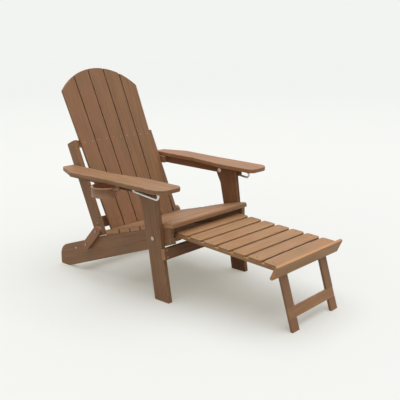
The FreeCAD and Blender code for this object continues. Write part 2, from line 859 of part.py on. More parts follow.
lap_points = [
    footleg_point(bar_high - cut_overrun, -half_thick - cut_overrun),
    footleg_point(bar_low + cut_overrun, -half_thick - cut_overrun),
    footleg_point(bar_low + cut_overrun, 0),
    footleg_point(bar_high - cut_overrun, 0),
]
for name, side in sides:
    x_from, x_to = span(side, footleg_inner_x, footleg_outer_x)
    crossbar = crossbar.cut(side_plate(lap_points, [0, 0, 0, 0], x_from, x_to))
save("footrest_crossbar", [crossbar])

# Pins that the footrest legs turn on, headed on the leg's inner face
pins = []
for name, side in sides:
    pin = rod_along_x(side * (footleg_inner_x - running_gap), side * footrest_half_width,
                      footleg_pin_y, footleg_pin_z, footleg_pin_radius)
    head = rod_along_x(side * (footleg_inner_x - running_gap - pin_head_height),
                       side * (footleg_inner_x - running_gap),
                       footleg_pin_y, footleg_pin_z, pin_head_radius)
    pins.append(pin.fuse(head))
save("footrest_leg_pins", pins)

# Cup holder: a cup with a rim, a slot for a mug's handle and a lug at its front
cup_top_z = rail_top_z - cup_top_gap
cup_bottom_z = cup_top_z - cup_height
cup_wall_radius = cup_outer_radius - cup_rim_width
profile = [
    Vector(0, 0, cup_bottom_z),
    Vector(cup_wall_radius, 0, cup_bottom_z),
    Vector(cup_wall_radius, 0, cup_top_z - cup_rim_height),
    Vector(cup_outer_radius, 0, cup_top_z - cup_rim_height),
    Vector(cup_outer_radius, 0, cup_top_z),
    Vector(cup_wall_radius - cup_wall, 0, cup_top_z),
    Vector(cup_wall_radius - cup_wall, 0, cup_bottom_z + cup_wall),
    Vector(0, 0, cup_bottom_z + cup_wall),
]
cup_face = Part.Face(Part.makePolygon(profile + [profile[0]]))
cup = cup_face.revolve(Vector(0, 0, 0), axis_z, 360)
slot_box = Part.makeBox(
    cup_outer_radius + cut_overrun, cup_handle_slot, cup_height,
    Vector(0, -cup_handle_slot / 2, cup_bottom_z + cup_slot_floor))
slot_box.rotate(Vector(0, 0, 0), axis_z, cup_slot_degrees)
cup = cup.cut(slot_box)
cup.translate(Vector(cup_x, cup_y, 0))
lug_base = Vector(cup_lug_x, cup_lug_y, cup_top_z - cup_lug_height)
lug_barrel = Part.makeCylinder(cup_lug_radius, cup_lug_height, lug_base)
reach_dir = unit(Vector(cup_lug_x - cup_x, cup_lug_y - cup_y, 0))
lug_distance = math.hypot(cup_lug_x - cup_x, cup_lug_y - cup_y)
web = Part.makeBox(
    lug_distance, cup_lug_width, cup_lug_height,
    Vector(0, -cup_lug_width / 2, cup_top_z - cup_lug_height))
web.rotate(Vector(0, 0, 0), axis_z, math.degrees(math.atan2(reach_dir.y, reach_dir.x)))
web.translate(Vector(cup_x, cup_y, 0))
cup_core = Part.makeCylinder(
    cup_wall_radius - cup_wall / 2, cup_height + cup_rim_height, Vector(cup_x, cup_y, cup_bottom_z))
lug = lug_barrel.fuse(web).cut(cup_core)
cup = cup.fuse(lug).removeSplitter()
lug_bore = Part.makeCylinder(
    running_bore, cup_height, Vector(cup_lug_x, cup_lug_y, cup_top_z - cup_height / 2))
cup = cup.cut(lug_bore)
save("cup_holder", [raised(cup)])

# Vertical bolt that the cup holder swings on, with a collar under the arm
collar_bottom_z = cup_top_z + running_gap
foot_top_z = cup_top_z - cup_lug_height - running_gap
foot_bottom_z = foot_top_z - pin_head_height
bolt_base = Vector(cup_lug_x, cup_lug_y, foot_bottom_z)
foot_plate = Part.makeCylinder(collar_foot_radius, pin_head_height, bolt_base)
shank = Part.makeCylinder(bolt_radius, rail_top_z - foot_bottom_z, bolt_base)
collar_base = Vector(cup_lug_x, cup_lug_y, collar_bottom_z)
collar = Part.makeCylinder(cup_lug_radius, rail_top_z - collar_bottom_z, collar_base)
cup_bolt = collar.fuse(shank).fuse(foot_plate).removeSplitter()
save("cup_holder_bolt", [raised(cup_bolt)])

# Origin under the middle of the whole chair's box, on the floor
whole = Part.makeCompound(list(nodes.values())).optimalBoundingBox(True, False)
to_origin = Vector(-(whole.XMin + whole.XMax) / 2, -(whole.YMin + whole.YMax) / 2, -whole.ZMin)
for node in nodes:
    placed = nodes[node].copy()
    placed.translate(to_origin)
    placed.exportStep("parts/" + node + ".step")
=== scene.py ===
import bpy
import bmesh
import json
import math
import random
import numpy as np
from mathutils import Matrix, Vector
from mathutils.bvhtree import BVHTree


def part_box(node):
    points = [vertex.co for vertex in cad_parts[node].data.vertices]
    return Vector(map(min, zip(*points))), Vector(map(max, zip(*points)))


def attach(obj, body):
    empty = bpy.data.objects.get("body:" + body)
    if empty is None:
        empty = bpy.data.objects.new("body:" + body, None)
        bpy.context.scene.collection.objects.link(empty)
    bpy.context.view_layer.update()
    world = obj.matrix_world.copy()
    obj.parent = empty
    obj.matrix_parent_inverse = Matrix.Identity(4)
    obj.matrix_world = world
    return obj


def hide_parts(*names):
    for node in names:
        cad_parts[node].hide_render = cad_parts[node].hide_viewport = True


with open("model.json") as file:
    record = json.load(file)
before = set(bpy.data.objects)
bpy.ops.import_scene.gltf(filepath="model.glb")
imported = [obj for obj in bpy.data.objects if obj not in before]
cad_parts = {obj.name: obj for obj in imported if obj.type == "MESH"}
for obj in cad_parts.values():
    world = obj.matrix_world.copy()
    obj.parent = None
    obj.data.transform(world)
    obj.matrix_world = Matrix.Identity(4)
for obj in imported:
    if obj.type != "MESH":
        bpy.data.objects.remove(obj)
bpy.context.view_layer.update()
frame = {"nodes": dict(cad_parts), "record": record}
nodes = frame["nodes"]
bodyOf = {}
for bodyName, members in frame["record"]["behaviour"]["bodies"].items():
    for member in members:
        bodyOf[member] = bodyName
slotOf = {subpart["node"]: subpart["material_slot"] for subpart in frame["record"]["subparts"]}
chance = random.Random(11)  # the same draws each run, for the boards' grain and the screws' turns
mm = 0.001
upwards = Vector((0, 0, 1))
forwards = Vector((0, -1, 0))
print("stage: frame loaded,", len(nodes), "nodes")

# The chair's own datum: middle of the stringers, front edge of the front legs' feet, floor
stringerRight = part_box("stringer_right")
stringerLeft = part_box("stringer_left")
datumX = (stringerRight[0].x + stringerLeft[1].x) / 2
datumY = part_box("front_leg_right")[0].y
datum = Vector((datumX, datumY, 0))


def reachOf(node):
    # how far a piece's middle is from the chair's middle
    low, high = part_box(node)
    return (low.x + high.x) / 2 - datumX


def slatsOf(part):
    return sorted(node for node in nodes if node.startswith(part + "_slat_"))


def byPrefix(table, node, plain):
    # the value for the first name in the table that the node's own name starts with
    for prefix, value in table.items():
        if node.startswith(prefix):
            return value
    return plain


def addToScene(name, data):
    item = bpy.data.objects.new(name, data)
    bpy.context.scene.collection.objects.link(item)
    return item


# Shader helpers
def addNode(tree, kind, **settings):
    node = tree.nodes.new(kind)
    for key, value in settings.items():
        setattr(node, key, value)
    return node


def setInput(tree, node, socket, value):
    # a value is set on the socket itself, another node's output is linked to it
    if isinstance(value, bpy.types.NodeSocket):
        tree.links.new(value, node.inputs[socket])
    else:
        node.inputs[socket].default_value = value


def mathNode(tree, operation, *values, clamp=False):
    node = addNode(tree, "ShaderNodeMath", operation=operation, use_clamp=clamp)
    for index, value in enumerate(values):
        setInput(tree, node, index, value)
    return node.outputs[0]


def noiseNode(tree, vector, scale, detail, roughness=0.5):
    node = addNode(tree, "ShaderNodeTexNoise")
    setInput(tree, node, "Vector", vector)
    setInput(tree, node, "Scale", scale)
    setInput(tree, node, "Detail", detail)
    setInput(tree, node, "Roughness", roughness)
    return node.outputs["Fac"]


def remap(tree, value, fromRange, toRange=(0.0, 1.0)):
    node = addNode(tree, "ShaderNodeMapRange")
    setInput(tree, node, "Value", value)
    for label, limits in (("From", fromRange), ("To", toRange)):
        setInput(tree, node, label + " Min", limits[0])
        setInput(tree, node, label + " Max", limits[1])
    return node.outputs["Result"]


def mixColour(tree, factor, first, second, blend="MIX"):
    # inputs 6 and 7 and output 2 are the colour sockets of Mix
    node = addNode(tree, "ShaderNodeMix", data_type="RGBA", blend_type=blend)
    setInput(tree, node, 0, factor)
    setInput(tree, node, 6, first)
    setInput(tree, node, 7, second)
    return node.outputs[2]


def newGroup(name, inputs, outputs):
    # each input has its kind of socket, and every output is a float
    tree = bpy.data.node_groups.new(name, "ShaderNodeTree")
    for label, kind in inputs.items():
        tree.interface.new_socket(name=label, in_out="INPUT", socket_type="NodeSocket" + kind)
    for label in outputs:
        tree.interface.new_socket(name=label, in_out="OUTPUT", socket_type="NodeSocketFloat")
    return tree, tree.nodes.new("NodeGroupInput"), tree.nodes.new("NodeGroupOutput")


def useGroup(tree, group, **values):
    node = addNode(tree, "ShaderNodeGroup", node_tree=group)
    for key, value in values.items():
        setInput(tree, node, key, value)
    return node.outputs


def newMaterial(name):
    material = bpy.data.materials.new(name)
    material.use_nodes = True
    tree = material.node_tree
    return material, tree, tree.nodes["Principled BSDF"]


def addBump(tree, shader, height, distance, strength):
    bump = addNode(tree, "ShaderNodeBump")
    setInput(tree, bump, "Height", height)
    setInput(tree, bump, "Distance", distance)
    setInput(tree, bump, "Strength", strength)
    tree.links.new(bump.outputs["Normal"], shader.inputs["Normal"])


# Board grain: scales are per metre along, across and through the board
grainLook = {
    "bend": {"scale": (3.0, 9.0, 9.0), "detail": 2.0, "roughness": 0.5},
    "Streak": {"scale": (4.0, 120.0, 120.0), "detail": 5.0, "roughness": 0.6},
    "Fine": {"scale": (22.0, 620.0, 620.0), "detail": 4.0, "roughness": 0.6},
    "Tone": {"scale": (0.02, 0.02, 0.02), "detail": 0.0, "roughness": 0.5},
    "Blotch": {"scale": (6.0, 16.0, 16.0), "detail": 3.0, "roughness": 0.5},
    "Patch": {"scale": (4.5, 13.0, 13.0), "detail": 4.0, "roughness": 0.6},
    "bendShift": (0.0, 0.012, 0.012), "streakHeight": 0.6, "fineHeight": 0.4,
}


def boardNoise(tree, place, look):
    stretched = addNode(tree, "ShaderNodeMapping")
    setInput(tree, stretched, "Vector", place)
    setInput(tree, stretched, "Scale", look["scale"])
    return noiseNode(tree, stretched.outputs["Vector"], 1.0, look["detail"], look["roughness"])


def makeBoardGrain():
    # wavy streaks and fine lines along the board, a tone per board, slow blotches and patches
    masks = ("Streak", "Fine", "Tone", "Blotch", "Patch")
    tree, groupIn, groupOut = newGroup("boardGrain", {"Board": "Vector"}, masks + ("Height",))
    board = groupIn.outputs["Board"]
    wavy = addNode(tree, "ShaderNodeVectorMath", operation="MULTIPLY_ADD")
    setInput(tree, wavy, 0, boardNoise(tree, board, grainLook["bend"]))
    setInput(tree, wavy, 1, grainLook["bendShift"])
    setInput(tree, wavy, 2, board)
    results = {}
    for label in masks:
        place = wavy.outputs[0] if label in ("Streak", "Fine") else board
        results[label] = boardNoise(tree, place, grainLook[label])
    raised = mathNode(tree, "MULTIPLY", results["Streak"], grainLook["streakHeight"])
    results["Height"] = mathNode(tree, "MULTIPLY_ADD", results["Fine"], grainLook["fineHeight"], raised)
    for label, value in results.items():
        tree.links.new(value, groupOut.inputs[label])
    return tree


# Rubbed edges that also carry a painted highlight, broken up along their length, where the bevelled faces are
wearLook = {"scale": 28.0, "detail": 3.0, "range": (0.38, 0.62)}


def makeEdgeWear():
    tree, groupIn, groupOut = newGroup("edgeWear", {"Edge": "Float", "Board": "Vector"}, ("Wear",))
    patches = noiseNode(tree, groupIn.outputs["Board"], wearLook["scale"], wearLook["detail"])
    broken = remap(tree, patches, wearLook["range"])
    wear = mathNode(tree, "MULTIPLY", broken, groupIn.outputs["Edge"], clamp=True)
    tree.links.new(wear, groupOut.inputs["Wear"])
    return tree


# Fine hazy marks on metal and moulded pieces, and grit much finer than the haze
scuffLook = {"hazeDetail": 4.0, "hazeRange": (0.35, 0.7), "gritFiner": 9.0, "gritDetail": 3.0, "roughness": 0.6}


def makeScuffs():
    tree, groupIn, groupOut = newGroup("scuffs", {"Place": "Vector", "Scale": "Float"}, ("Haze", "Grit"))
    place = groupIn.outputs["Place"]
    scale = groupIn.outputs["Scale"]
    haze = noiseNode(tree, place, scale, scuffLook["hazeDetail"], scuffLook["roughness"])
    finer = mathNode(tree, "MULTIPLY", scale, scuffLook["gritFiner"])
    grit = noiseNode(tree, place, finer, scuffLook["gritDetail"], scuffLook["roughness"])
    tree.links.new(remap(tree, haze, scuffLook["hazeRange"]), groupOut.inputs["Haze"])
    tree.links.new(grit, groupOut.inputs["Grit"])
    return tree


boardGrain = makeBoardGrain()
edgeWear = makeEdgeWear()
scuffs = makeScuffs()
noiseRange = (0.3, 0.7)  # where most of a noise's values lie

# Lumber: the colours of the chair's boards, and a paler copy for the footrest as painted light
lumberTones = {
    "chairLumber": {
        "dark": (0.245, 0.116, 0.05, 1), "light": (0.38, 0.19, 0.083, 1), "rosy": (0.34, 0.157, 0.077, 1),
        "olive": (0.285, 0.158, 0.072, 1), "wornAndHighlit": (0.49, 0.3, 0.165, 1)},
    "footrestLumberPaintedLight": {
        "dark": (0.3, 0.148, 0.059, 1), "light": (0.456, 0.235, 0.095, 1), "rosy": (0.403, 0.197, 0.088, 1),
        "olive": (0.355, 0.2, 0.088, 1), "wornAndHighlit": (0.55, 0.36, 0.2, 1)},
}
# What both share: From is the range over which a tone's share, or the painted warm shade, grows
lumberFinish = {
    "rosyFrom": (0.35, 0.65), "rosyShare": (0.0, 0.7), "oliveFrom": (0.46, 0.68), "oliveShare": (0.0, 0.75),
    "blotchGain": (0.9, 1.1), "fineGain": (0.94, 1.05), "wearAndHighlightShare": 0.7,
    "paintedShadeFrom": (0.4, 0.9), "paintedShadeTint": (1.0, 0.7, 0.45, 1), "paintedShadeDullness": 0.35,
    "roughness": (0.62, 0.5), "bump": 0.6 * mm, "bumpStrength": 0.6,
}


def lumberMaterial(name, dark, light, rosy, olive, wornAndHighlit):
    material, tree, shader = newMaterial(name)
    place = addNode(tree, "ShaderNodeAttribute", attribute_name="grain").outputs["Vector"]
    edge = addNode(tree, "ShaderNodeAttribute", attribute_name="edge").outputs["Fac"]
    paintedLightAndShade = addNode(tree, "ShaderNodeAttribute", attribute_name="gain").outputs["Fac"]
    look = lumberFinish
    grain = useGroup(tree, boardGrain, Board=place)
    base = mixColour(tree, remap(tree, grain["Streak"], noiseRange), dark, light)
    rosyPart = remap(tree, grain["Tone"], look["rosyFrom"], look["rosyShare"])
    olivePart = remap(tree, grain["Patch"], look["oliveFrom"], look["oliveShare"])
    toned = mixColour(tree, olivePart, mixColour(tree, rosyPart, base, rosy), olive)
    brightness = remap(tree, grain["Blotch"], noiseRange, look["blotchGain"])
    finer = remap(tree, grain["Fine"], noiseRange, look["fineGain"])
    gain = mathNode(tree, "MULTIPLY", mathNode(tree, "MULTIPLY", brightness, finer), paintedLightAndShade)
    grey = addNode(tree, "ShaderNodeCombineColor")
    for channel in range(3):
        tree.links.new(gain, grey.inputs[channel])
    lit = mixColour(tree, 1.0, toned, grey.outputs[0], "MULTIPLY")
    # painted shade: boards and walls painted darker also get a warm tint and a duller surface
    paintedWarmShade = remap(tree, paintedLightAndShade, look["paintedShadeFrom"], (1.0, 0.0))  # the darker the board, the more of it
    shaded = mixColour(tree, paintedWarmShade, lit, look["paintedShadeTint"], "MULTIPLY")
    wear = useGroup(tree, edgeWear, Edge=edge, Board=place)["Wear"]
    # real wear and a painted edge highlight, in the paler worn colour
    highlitWear = mathNode(tree, "MULTIPLY", wear, look["wearAndHighlightShare"])
    tree.links.new(mixColour(tree, highlitWear, shaded, wornAndHighlit), shader.inputs["Base Color"])
    dullness = mathNode(tree, "MULTIPLY", paintedWarmShade, look["paintedShadeDullness"])
    grainRough = remap(tree, grain["Streak"], noiseRange, look["roughness"])
    tree.links.new(mathNode(tree, "ADD", grainRough, dullness, clamp=True), shader.inputs["Roughness"])
    addBump(tree, shader, grain["Height"], look["bump"], look["bumpStrength"])
    return material


# Hard finishes: steels, the moulded cup holder and the painted shade of the recess in a screw's head
steelMarks = {"scale": 90.0, "roughness": (0.26, 0.42), "bump": 0.08 * mm}
hardLooks = {
    "zincSteel": {
        "clean": (0.86, 0.84, 0.79, 1), "hazy": (0.7, 0.68, 0.63, 1), "metallic": 0.85, **steelMarks},
    "screwSteel": {
        "clean": (0.6, 0.47, 0.36, 1), "hazy": (0.42, 0.31, 0.22, 1), "metallic": 0.4, **steelMarks},
    # bolt ends: zinc painted near white, a painted glint
    "glintedBoltFace": {
        "clean": (0.96, 0.94, 0.9, 1), "hazy": (0.84, 0.81, 0.76, 1), "metallic": 0.6, **steelMarks},
    "warmBolt": {
        "clean": (0.66, 0.54, 0.44, 1), "hazy": (0.5, 0.39, 0.3, 1), "metallic": 0.5, **steelMarks},
    "dullBolt": {
        "clean": (0.46, 0.36, 0.27, 1), "hazy": (0.32, 0.23, 0.16, 1), "metallic": 0.5, **steelMarks},
    "bronzedScrew": {
        "clean": (0.26, 0.15, 0.085, 1), "hazy": (0.19, 0.105, 0.055, 1), "metallic": 0.3, **steelMarks},
    "paintedRecessShade": {
        "clean": (0.05, 0.04, 0.035, 1), "hazy": (0.11, 0.1, 0.09, 1), "metallic": 0.6, "scale": 200.0,
        "roughness": 0.6},
    "mouldedCup": {
        "clean": (0.47, 0.245, 0.13, 1), "hazy": (0.54, 0.29, 0.16, 1), "metallic": 0.0, "scale": 45.0,
        "roughness": (0.36, 0.5), "bump": 0.15 * mm},
}
hardBumpStrength = 0.4


def hardMaterial(name, clean, hazy, metallic, scale, roughness, bump=None):
    material, tree, shader = newMaterial(name)
    place = addNode(tree, "ShaderNodeTexCoord").outputs["Object"]
    marks = useGroup(tree, scuffs, Place=place, Scale=scale)
    tree.links.new(mixColour(tree, marks["Haze"], clean, hazy), shader.inputs["Base Color"])
    shader.inputs["Metallic"].default_value = metallic
    if bump is None:  # a recess is too small for grit
        shader.inputs["Roughness"].default_value = roughness
        return material
    tree.links.new(remap(tree, marks["Grit"], noiseRange, roughness), shader.inputs["Roughness"])
    addBump(tree, shader, marks["Grit"], bump, hardBumpStrength)
    return material


finishes = {name: lumberMaterial(name, **tones) for name, tones in lumberTones.items()}
finishes.update({name: hardMaterial(name, **look) for name, look in hardLooks.items()})
print("stage: materials made")

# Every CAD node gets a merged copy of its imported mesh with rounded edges
copying = {"mergeWithin": 0.002 * mm, "flatWithin": 0.5, "sharpFrom": 40, "boreBend": -0.02}


def isBoreRim(edge, smallRim):
    # short rim edges whose wall bends inwards belong to a drilled hole
    if edge.calc_length() > smallRim:
        return False
    wall = min(edge.link_faces, key=lambda face: face.calc_area())
    for other in wall.edges:
        if other is edge or len(other.link_faces) != 2:
            continue
        if other.calc_face_angle_signed(0) < copying["boreBend"]:
            return True
    return False


def mergedCopy(node, bevelWidth, bevelSteps, smallRim):
    work = bmesh.new()
    work.from_mesh(nodes[node].data)
    bmesh.ops.remove_doubles(work, verts=work.verts, dist=copying["mergeWithin"])
    bmesh.ops.dissolve_limit(
        work, angle_limit=math.radians(copying["flatWithin"]), verts=work.verts, edges=work.edges)
    edgeLayer = work.faces.layers.float.new("edge")
    sharp = []
    for edge in work.edges:
        if len(edge.link_faces) != 2 or edge.calc_face_angle(0) < math.radians(copying["sharpFrom"]):
            continue
        if edge.calc_face_angle_signed(0) < 0 or isBoreRim(edge, smallRim):
            continue
        sharp.append(edge)
    made = bmesh.ops.bevel(
        work, geom=sharp, offset=bevelWidth, offset_type="OFFSET", segments=bevelSteps,
        profile=0.5, affect="EDGES", clamp_overlap=True, material=-1)
    for face in made["faces"]:
        face[edgeLayer] = 1.0
    return work


def finishPiece(name, work, body, materials, smoothAngle):
    mesh = bpy.data.meshes.new(name)
    work.to_mesh(mesh)
    work.free()
    for material in materials:
        mesh.materials.append(finishes[material])
    mesh.polygons.foreach_set("use_smooth", [True] * len(mesh.polygons))
    mesh.set_sharp_from_angle(angle=math.radians(smoothAngle))
    piece = addToScene(name, mesh)
    normals = piece.modifiers.new("evenNormals", "WEIGHTED_NORMAL")
    normals.keep_sharp = True
    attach(piece, body)
    return piece


# Boards: how wide the rounded edges are, and painted light and shade: gains that make a board lighter
# or darker than its lumber, a painted highlight on its sawn ends and painted shade on a slat's walls in a gap
boardLook = {
    "edge": {"armrest": 3.2 * mm, "back_slat": 2.2 * mm, "seat_slat": 2.4 * mm},
    "plainEdge": 1.8 * mm,
    "bevelSteps": 2,
    "boreRim": 2.2 * mm,
    "smoothAngle": 25,
    # painted light and painted shade per board: above 1 a board looks more lit, below 1 more shaded
    "gain": {
        "footrest_apron": 1.42, "footrest_crossbar": 1.35, "footrest_rail": 1.12, "leg_stretcher": 0.74,
        "front_leg_left": 0.7, "seat_slat_1": 1.12, "arm_rail": 0.7, "armrest_left": 1.1,
        "back_lower_brace": 0.45, "back_link": 1.2},
    "endHighlight": {"seat_slat": 1.9, "leg_stretcher": 2.3},
    "gapShade": 0.42,
    "gapReach": 12 * mm,
    "grainOffset": 40,
}
facesAlong = 0.8  # least cosine between a face's normal and a direction that it counts as facing


def boardAxes(mesh):
    # middle, and directions of length, width and thickness, from how the surface is spread
    mesh.calc_loop_triangles()
    places = np.array([vert.co[:] for vert in mesh.vertices])
    corners = places[np.array([triangle.vertices[:] for triangle in mesh.loop_triangles])]
    areas = np.array([triangle.area for triangle in mesh.loop_triangles])
    middle = (corners.mean(1) * areas[:, None]).sum(0) / areas.sum()
    corners = corners - middle
    sums = corners.sum(1)
    moments = np.einsum("t,tci,tcj->ij", areas, corners, corners) + np.einsum("t,ti,tj->ij", areas, sums, sums)
    return middle, np.linalg.eigh(moments)[1][:, ::-1]


def allSolids():
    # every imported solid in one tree, to find what lies close to a face
    places = []
    faces = []
    for packed in nodes.values():
        first = len(places)
        places.extend(vert.co.copy() for vert in packed.data.vertices)
        faces.extend([first + corner for corner in polygon.vertices] for polygon in packed.data.polygons)
    return BVHTree.FromPolygons(places, faces)


neighbours = allSolids()


def paintLightAndShade(node, work, axes):
    # rounded edges keep their board's painted light and shade, sawn ends get a painted highlight and walls in a
    # gap painted shade
    paintedLightAndShade = byPrefix(boardLook["gain"], node, 1.0)
    endHighlight = byPrefix(boardLook["endHighlight"], node, 1.0)
    edgeLayer = work.faces.layers.float["edge"]
    lightShadeLayer = work.faces.layers.float.new("gain")
    along = Vector(axes[:, 0])
    across = Vector(axes[:, 1])
    work.normal_update()
    for face in work.faces:
        face[lightShadeLayer] = paintedLightAndShade
        if face[edgeLayer] > 0.5:
            continue
        # a painted highlight on sawn ends
        if abs(face.normal.dot(along)) > facesAlong:
            face[lightShadeLayer] = paintedLightAndShade * endHighlight
        # painted shade on a slat's walls that face another part across a gap
        elif "slat" in node and abs(face.normal.dot(across)) > facesAlong:
            start = face.calc_center_median() + face.normal * mm
            if neighbours.ray_cast(start, face.normal, boardLook["gapReach"])[0] is not None:
                face[lightShadeLayer] = paintedLightAndShade * boardLook["gapShade"]


def dressBoard(node):
    width = byPrefix(boardLook["edge"], node, boardLook["plainEdge"])
    work = mergedCopy(node, width, boardLook["bevelSteps"], boardLook["boreRim"])
    middle, axes = boardAxes(nodes[node].data)
    paintLightAndShade(node, work, axes)
    # the footrest's boards get the paler copy, painted light
    lumber = "footrestLumberPaintedLight" if bodyOf[node] == "footrest" else "chairLumber"
    piece = finishPiece("dressed_" + node, work, bodyOf[node], [lumber], boardLook["smoothAngle"])
    mesh = piece.data
    reach = boardLook["grainOffset"]
    offset = np.array([chance.uniform(-reach, reach) for axis in range(3)])
    places = np.empty(len(mesh.vertices) * 3)
    mesh.vertices.foreach_get("co", places)
    local = (places.reshape(-1, 3) - middle) @ axes + offset
    grain = mesh.attributes.new("grain", "FLOAT_VECTOR", "POINT")
    grain.data.foreach_set("vector", local.ravel())
    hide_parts(node)


for node in sorted(nodes):
    if "lumber" in slotOf[node]:
        dressBoard(node)
print("stage: boards dressed")

# Steel and moulded pieces: the bails' wire is swollen, so that its bevelled six sides look round
hardware = {
    "edge": {"bail": 2.45 * mm, "footrest_rod": 0.6 * mm, "footrest_leg_pins": 0.4 * mm},
    "plainEdge": 1.6 * mm,
    "cupEdge": 1.0 * mm,
    "bevelSteps": 3,
    "smoothAngle": 50,
    "swell": {"bail": 0.7 * mm},
    "finish": {
        "cup_holder_bolt": ["bronzedScrew"], "footrest_leg_pins": ["bronzedScrew"],
        "link_bolts": ["dullBolt"], "stringer_pivot_bolts": ["warmBolt", "dullBolt"]},
    "plainFinish": ["zincSteel"],
}


def dressHardware(node, materials, width):
    work = mergedCopy(node, width, hardware["bevelSteps"], 0.0)
    swell = byPrefix(hardware["swell"], node, 0.0)
    work.normal_update()
    for vert in work.verts:
        vert.co += vert.normal * swell
    piece = finishPiece(
        "dressed_" + node, work, bodyOf[node], materials, hardware["smoothAngle"])
    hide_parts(node)


for node in sorted(nodes):
    if slotOf[node] == "steel":
        materials = hardware["finish"].get(node, hardware["plainFinish"])
        dressHardware(node, materials, byPrefix(hardware["edge"], node, hardware["plainEdge"]))
dressHardware("cup_holder", ["mouldedCup"], hardware["cupEdge"])

# The links' lower bolts, behind the front legs, are as dull as their upper ones
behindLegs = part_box("front_leg_right")[1].y
for polygon in bpy.data.objects["dressed_stringer_pivot_bolts"].data.polygons:
    if polygon.center.y > behindLegs:
        polygon.material_index = 1
print("stage: hardware dressed")

# Screws: a low dome with a cross painted dark as the shade in its recess, one piece per row, and where they sit in
# a board's half width
screw = {"radius": 3.6 * mm, "rise": 1.1 * mm, "sides": 14, "rings": 6, "slotLong": 4.2 * mm, "slotWide": 0.9 * mm,
         "slotTall": 0.5 * mm, "slotSunk": 0.3, "smoothAngle": 40}
screwShares = {"seat": (-0.45, 0.45), "back": (-0.5, 0.5), "footrest": (0.0,), "stretcher": (-0.62, 0.62)}


def addScrew(work, place, normal, turn):
    # the dome's lower half is sunk into the board
    facing = normal.to_track_quat("Z", "Y").to_matrix().to_4x4()
    stand = Matrix.Translation(place) @ facing @ Matrix.Rotation(turn, 4, "Z")
    flat = Matrix.Diagonal((1, 1, screw["rise"] / screw["radius"], 1))
    bmesh.ops.create_uvsphere(
        work, u_segments=screw["sides"], v_segments=screw["rings"], radius=screw["radius"], matrix=stand @ flat)
    slim = Matrix.Diagonal((screw["slotLong"], screw["slotWide"], screw["slotTall"], 1))
    lift = Matrix.Translation((0, 0, screw["rise"] - screw["slotSunk"] * screw["slotTall"]))
    # the cross is painted dark, the shade a real recess would hold
    for quarter in (0, math.pi / 2):
        bar = bmesh.ops.create_cube(work, size=1, matrix=stand @ lift @ Matrix.Rotation(quarter, 4, "Z") @ slim)
        for vert in bar["verts"]:
            for face in vert.link_faces:
                face.material_index = 1


def screwPiece(name, body, spots, heads="bronzedScrew"):
    work = bmesh.new()
    for place, normal in spots:
        addScrew(work, place, normal, chance.uniform(0, math.pi))
    finishPiece(name, work, body, [heads, "paintedRecessShade"], screw["smoothAngle"])


def bigFace(node, towards):
    # the board's big face that looks towards a direction
    mesh = nodes[node].data
    middle, axes = boardAxes(mesh)
    normal = Vector(axes[:, 2])
    if normal.dot(towards) < 0:
        normal = -normal
    along = Vector(axes[:, 0])
    if along.x + along.z < 0:
        along = -along
    across = normal.cross(along)
    places = [Vector(vert.co) - Vector(middle) for vert in mesh.vertices]
    top = max(place.dot(normal) for place in places)
    halfWide = max(abs(place.dot(across)) for place in places)
    return {"middle": Vector(middle) + normal * top, "normal": normal, "along": along, "across": across,
            "halfWide": halfWide}


def spotsOn(face, reaches, shares):
    # at distances along the face from its middle, and at shares of its half width
    return [
        (face["middle"] + face["along"] * reach + face["across"] * (share * face["halfWide"]), face["normal"])
        for reach in reaches for share in shares]


seatSpots = []
seatReach = reachOf("stringer_left")
for slat in slatsOf("seat"):
    face = bigFace(slat, upwards)
    seatSpots += spotsOn(face, (-seatReach, seatReach), screwShares["seat"])
screwPiece("screws_seat", "frame", seatSpots)

upperSpots = []
lowerSpots = []
upperMiddle = sum(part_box("back_upper_brace"), Vector()) / 2
lowerMiddle = sum(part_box("back_lower_brace"), Vector()) / 2
for slat in slatsOf("back"):
    face = bigFace(slat, forwards)
    for braceMiddle, spots in ((upperMiddle, upperSpots), (lowerMiddle, lowerSpots)):
        reach = (braceMiddle - face["middle"]).dot(face["along"])
        spots += spotsOn(face, (reach,), screwShares["back"])
for side, outer in ((-1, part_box("back_post_right")[0].x), (1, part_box("back_post_left")[1].x)):
    for braceMiddle in (upperMiddle, lowerMiddle):
        upperSpots.append((Vector((outer, braceMiddle.y, braceMiddle.z)), Vector((side, 0, 0))))
screwPiece("screws_back_upper", "back", upperSpots, "screwSteel")
screwPiece("screws_back_lower", "back", lowerSpots)

restSpots = []
railReach = reachOf("footrest_rail_left")
for slat in slatsOf("footrest"):
    face = bigFace(slat, upwards)
    restSpots += spotsOn(face, (-railReach, railReach), screwShares["footrest"])
screwPiece("screws_footrest", "footrest", restSpots)

legReach = reachOf("front_leg_left")
legSpots = spotsOn(bigFace("leg_stretcher", forwards), (-legReach, legReach), screwShares["stretcher"])
screwPiece("screws_legs", "front_legs", legSpots, "screwSteel")

